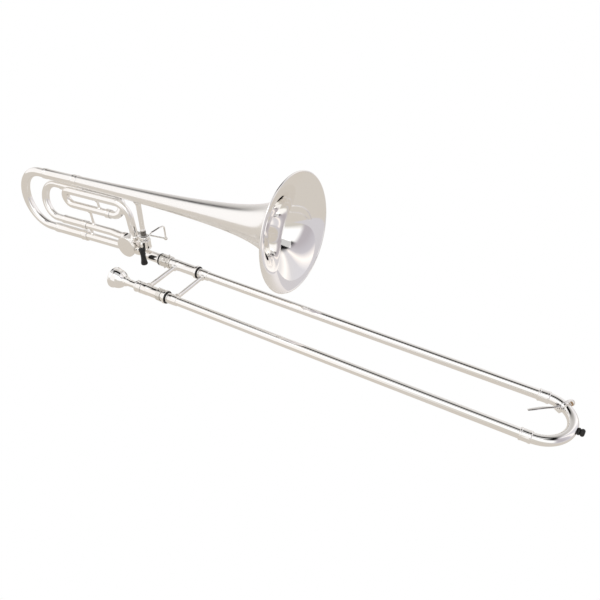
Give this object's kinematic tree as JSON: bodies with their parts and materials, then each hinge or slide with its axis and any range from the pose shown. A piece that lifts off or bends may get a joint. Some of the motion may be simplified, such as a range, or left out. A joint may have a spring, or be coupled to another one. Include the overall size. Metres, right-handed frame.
{
  "type": "trombone",
  "caption": "Silver-plated tenor trombone with a hand slide, a rotary-valve F attachment wound inside the main loop, tuning slides, trigger and water key.",
  "frame": {"origin": "centre of the inner slide's brace, the left hand's grip", "axes": "+X along the slide towards the bow, +Y from the mouthpiece tube to the bell's tube, +Z towards the bell"},
  "size_m": [1.1732, 0.2189, 0.2683],
  "materials": {
    "silver": "polished silver plate",
    "nickel": "satin nickel",
    "steel": "dark steel",
    "brass": "lapped brass",
    "rubber": "black matte",
    "cork": "natural cork"
  },
  "bodies": {
    "inner_slide": {"inner_tube_far": "silver", "inner_tube_near": "silver", "cork_barrel_far": "silver", "cork_barrel_near": "silver", "barrel_ring_far": "rubber", "barrel_ring_near": "rubber", "mouthpiece_receiver": "silver", "inner_brace": "silver"},
    "lock_nut": {"lock_nut": "nickel"},
    "mouthpiece": {"mouthpiece": "silver"},
    "slide_lock": {"slide_lock_ring": "nickel"},
    "outer_slide": {"outer_tube_far": "silver", "outer_tube_near": "silver", "bow_ferrule_far": "silver", "bow_ferrule_near": "silver", "outer_brace": "silver", "bow": "silver", "bumper_socket": "rubber", "bow_bumper": "rubber", "drain_nipple": "nickel", "water_key_saddle": "silver", "water_key_pin": "steel", "water_key_spring": "steel"},
    "water_key": {"water_key_lever": "silver", "water_key_cork": "cork"},
    "bell_section": {"bell": "silver", "bell_rim": "silver", "tuning_sleeve_upper": "silver", "tuning_sleeve_lower": "silver", "gooseneck": "silver", "f_lower_tube": "silver", "f_sleeve_lower": "silver", "f_sleeve_upper": "silver", "f_upper_tube": "silver", "f_loop_tube": "silver", "loop_ferrule": "silver", "valve_casing": "silver", "valve_cap": "silver", "valve_back_plate": "silver", "stop_bumper_rear": "rubber", "stop_bumper_front": "rubber", "neck_tube": "silver", "slide_receiver": "silver", "receiver_ring": "rubber", "lever_post": "silver", "brace_nut": "steel", "bell_brace": "silver", "stay_loop": "silver", "stay_f_to_loop": "silver", "stay_leg_to_f": "silver"},
    "tuning_slide": {"tuning_slide": "silver", "tuning_ferrule_upper": "silver", "tuning_ferrule_lower": "silver"},
    "f_tuning_slide": {"f_tuning_slide": "silver"},
    "rotor": {"valve_rotor": "brass", "stop_arm": "nickel", "stop_screw": "steel"},
    "trigger": {"trigger_lever": "silver", "thumb_piece": "rubber"},
    "link_rod": {"link_rod": "nickel"}
  },
  "joints": [
    {"name": "slide_travel", "type": "slide", "parent": "inner_slide", "child": "outer_slide", "axis": [1, 0, 0], "range_m": [0, 0.58]},
    {"name": "bell_turn", "type": "hinge", "parent": "inner_slide", "child": "bell_section", "pos_m": [-0.03, 0.045, 0], "axis": [1, 0, 0], "range_deg": [-20, 20]},
    {"name": "lock_nut_turn", "type": "hinge", "parent": "inner_slide", "child": "lock_nut", "pos_m": [-0.026, 0.045, 0], "axis": [1, 0, 0], "range_deg": [0, 360]},
    {"name": "mouthpiece_pull", "type": "slide", "parent": "inner_slide", "child": "mouthpiece", "axis": [-1, 0, 0], "range_m": [0, 0.028]},
    {"name": "slide_lock_turn", "type": "hinge", "parent": "inner_slide", "child": "slide_lock", "pos_m": [0.0348, -0.045, 0], "axis": [1, 0, 0], "range_deg": [0, 45]},
    {"name": "water_key_press", "type": "hinge", "parent": "outer_slide", "child": "water_key", "pos_m": [0.7192, 0.02849, 0.0062], "axis": [0.848, -0.5299, 0], "range_deg": [0, 15], "stiffness_Nm_per_rad": 0.05, "springref_deg": -17.19},
    {"name": "tuning_slide_pull", "type": "slide", "parent": "bell_section", "child": "tuning_slide", "axis": [-0.998, -0.0033, -0.0636], "range_m": [0, 0.05]},
    {"name": "f_tuning_slide_pull", "type": "slide", "parent": "bell_section", "child": "f_tuning_slide", "axis": [-0.998, -0.0033, -0.0636], "range_m": [0, 0.03]},
    {"name": "trigger_press", "type": "hinge", "parent": "bell_section", "child": "trigger", "pos_m": [-0.07774, 0.04629, 0.02468], "axis": [0.0637, -0.0522, -0.9966], "range_deg": [0, 22], "stiffness_Nm_per_rad": 0.3, "springref_deg": -17.19},
    {"name": "rotor_turn", "type": "hinge", "parent": "bell_section", "child": "rotor", "pos_m": [-0.11257, 0.04568, 0.01296], "axis": [0, 0.9986, -0.0523], "range_deg": [0, 90]},
    {"name": "link_swing", "type": "hinge", "parent": "trigger", "child": "link_rod", "pos_m": [-0.06016, 0.08604, 0.01871], "axis": [-0.0637, 0.0522, 0.9966], "range_deg": [0, 13.2]}
  ],
  "couplings": [
    {"joint": "rotor_turn", "follows": "trigger_press", "ratio": 4.09},
    {"joint": "link_swing", "follows": "trigger_press", "ratio": 0.595}
  ]
}
